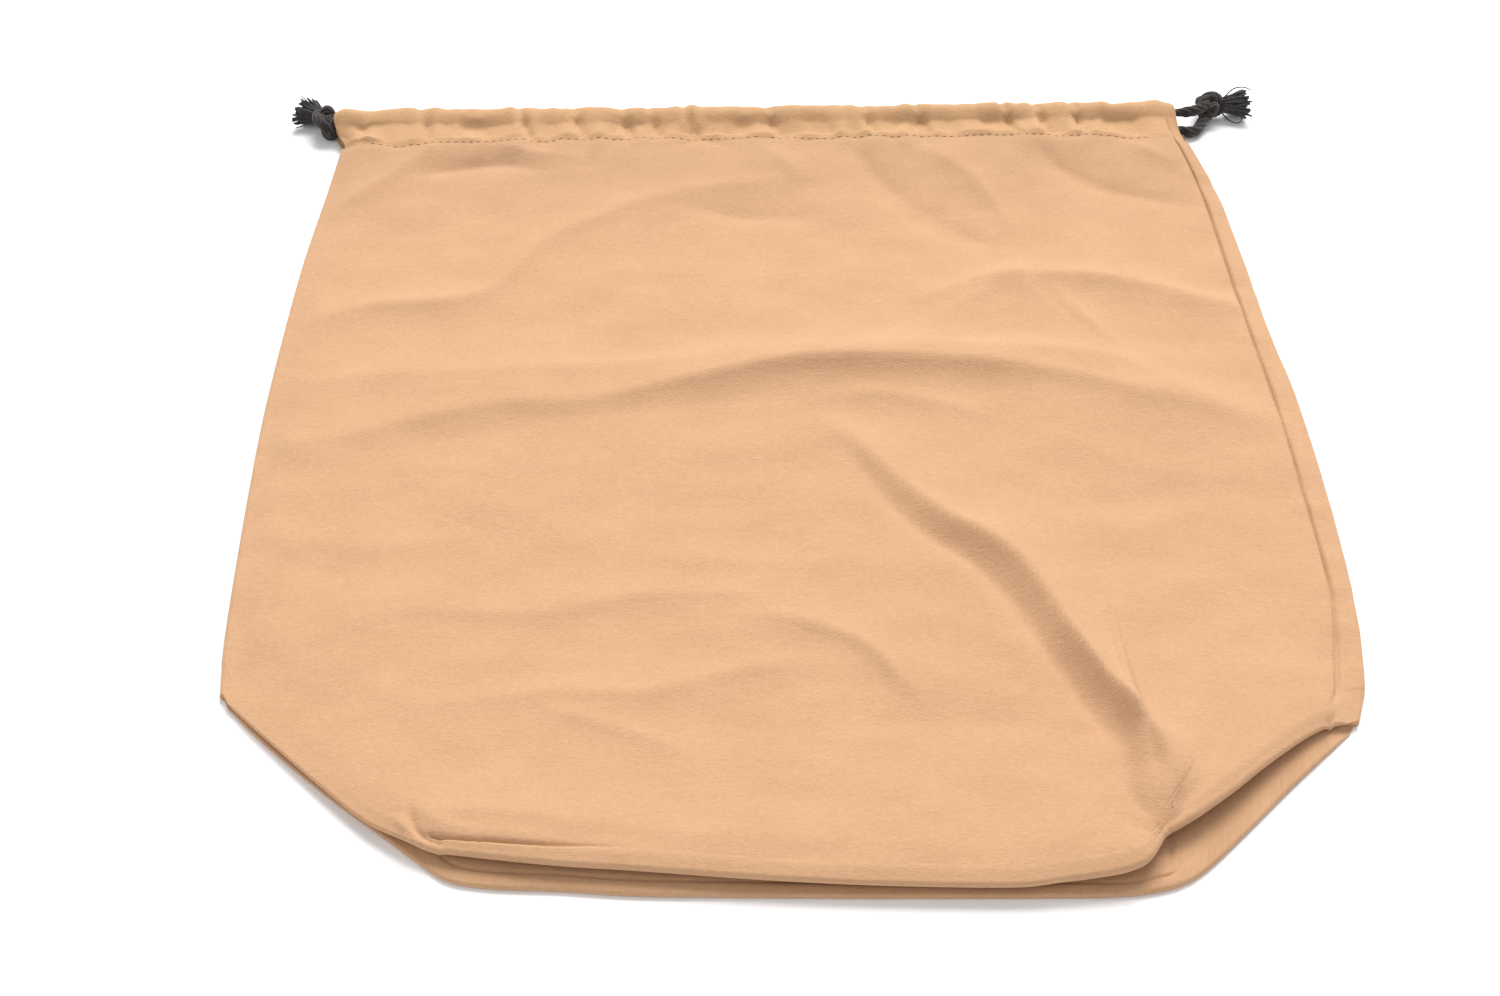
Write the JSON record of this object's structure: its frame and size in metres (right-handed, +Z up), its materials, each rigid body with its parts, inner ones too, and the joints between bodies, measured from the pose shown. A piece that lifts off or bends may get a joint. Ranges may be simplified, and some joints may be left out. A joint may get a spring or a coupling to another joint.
{
  "type": "drawstring shoe bag",
  "caption": "Flat drawstring dust bag in brushed cotton with a boxed base folded inward and a knotted cord at each end of its mouth.",
  "frame": {"origin": "on the table, under the middle of the bag laid flat", "axes": "+X to the right along the mouth, +Y from the base towards the mouth, +Z up from the table"},
  "size_m": [0.4206, 0.4265, 0.0175],
  "materials": {
    "flannel": "brushed cotton flannel, fine horizontal nap, soft sheen",
    "casing_flannel": "brushed cotton flannel, gathered",
    "thread": "matt polyester sewing thread",
    "seam_flannel": "sewn flannel allowances",
    "cord": "matt braided cotton cord, charcoal brown",
    "frayed_cotton": "frayed cotton strands"
  },
  "bodies": {
    "bag": {"front_panel": "flannel", "back_panel": "flannel", "base_panel": "flannel", "front_casing": "casing_flannel", "back_casing": "casing_flannel", "front_casing_stitching": "thread", "back_casing_stitching": "thread", "right_side_seam": "seam_flannel", "left_side_seam": "seam_flannel", "front_base_seam": "seam_flannel", "back_base_seam": "seam_flannel", "left_base_end_seam": "seam_flannel", "right_base_end_seam": "seam_flannel"},
    "left_mouth": {"front_left_hem": "casing_flannel", "back_left_hem": "casing_flannel"},
    "right_mouth": {"front_right_hem": "casing_flannel", "back_right_hem": "casing_flannel"},
    "left_cord": {"left_drawcord": "cord", "left_knot": "cord", "left_tassel": "frayed_cotton"},
    "right_cord": {"right_drawcord": "cord", "right_knot": "cord", "right_tassel": "frayed_cotton"}
  },
  "joints": [
    {"name": "left_cord_pull", "type": "slide", "parent": "bag", "child": "left_cord", "axis": [-1, 0, 0], "range_m": [0, 0.09]},
    {"name": "right_mouth_gather", "type": "slide", "parent": "bag", "child": "right_mouth", "axis": [-1, 0, 0], "range_m": [0, 0.09], "deforming": ["front_casing", "back_casing", "front_casing_stitching", "back_casing_stitching"]},
    {"name": "right_cord_pull", "type": "slide", "parent": "bag", "child": "right_cord", "axis": [1, 0, 0], "range_m": [0, 0.09]},
    {"name": "left_mouth_gather", "type": "slide", "parent": "bag", "child": "left_mouth", "axis": [1, 0, 0], "range_m": [0, 0.09], "deforming": ["front_casing", "back_casing", "front_casing_stitching", "back_casing_stitching"]}
  ],
  "couplings": [
    {"joint": "right_mouth_gather", "follows": "left_cord_pull", "ratio": 1},
    {"joint": "left_mouth_gather", "follows": "right_cord_pull", "ratio": 1}
  ]
}
